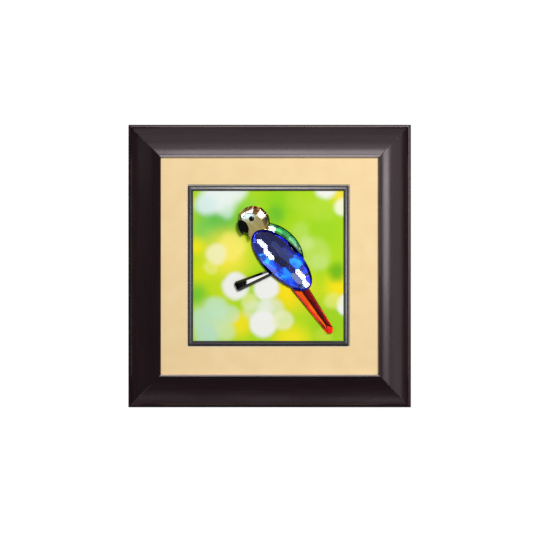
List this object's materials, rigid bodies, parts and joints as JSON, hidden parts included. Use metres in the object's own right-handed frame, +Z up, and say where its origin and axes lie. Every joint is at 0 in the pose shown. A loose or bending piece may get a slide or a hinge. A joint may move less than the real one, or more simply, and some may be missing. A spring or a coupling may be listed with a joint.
{
  "type": "framed crystal wall picture",
  "caption": "Square scoop-framed wall picture with a cream mat and a cut crystal bird set on a printed panel; hangs from a sawtooth hanger.",
  "frame": {"origin": "on the wall plane, at the middle of the rear face of the sawtooth hanger's raised plate", "axes": "+Y points into the wall, so the picture faces -Y; +Z is up; +X is to the right as seen from the front"},
  "size_m": [0.3, 0.028, 0.2999],
  "materials": {
    "espresso_frame": "satin espresso lacquer",
    "cream_mat": "matte cream surface paper with a pale core at the cut",
    "charcoal_slip": "satin charcoal",
    "printed_sheet": "satin colour print of soft green and yellow light",
    "hardboard": "raw hardboard",
    "zinc_steel": "zinc plated",
    "brass_nail": "plated nail head",
    "dark_felt": "pressed felt",
    "topaz_crystal": "cut and polished smoky topaz glass",
    "sapphire_crystal": "cut and polished blue glass",
    "peridot_crystal": "cut and polished green glass",
    "ruby_crystal": "cut and polished red glass",
    "jet_crystal": "cut and polished opaque black glass"
  },
  "bodies": {
    "root": {"frame_rail_top": "espresso_frame", "frame_rail_bottom": "espresso_frame", "frame_rail_left": "espresso_frame", "frame_rail_right": "espresso_frame", "mat_board": "cream_mat", "liner_top": "charcoal_slip", "liner_bottom": "charcoal_slip", "liner_left": "charcoal_slip", "liner_right": "charcoal_slip", "print_panel": "printed_sheet", "back_board": "hardboard", "back_tab_top": "zinc_steel", "back_tab_bottom": "zinc_steel", "back_tab_left": "zinc_steel", "back_tab_right": "zinc_steel", "hanger": "zinc_steel", "hanger_nail_left": "brass_nail", "hanger_nail_right": "brass_nail", "bumper_left": "dark_felt", "bumper_right": "dark_felt", "head_crystal": "topaz_crystal", "wing_crystal": "sapphire_crystal", "body_crystal": "peridot_crystal", "tail_crystal": "ruby_crystal", "beak": "jet_crystal", "perch_bar": "jet_crystal", "eye_bead": "jet_crystal"}
  },
  "joints": []
}
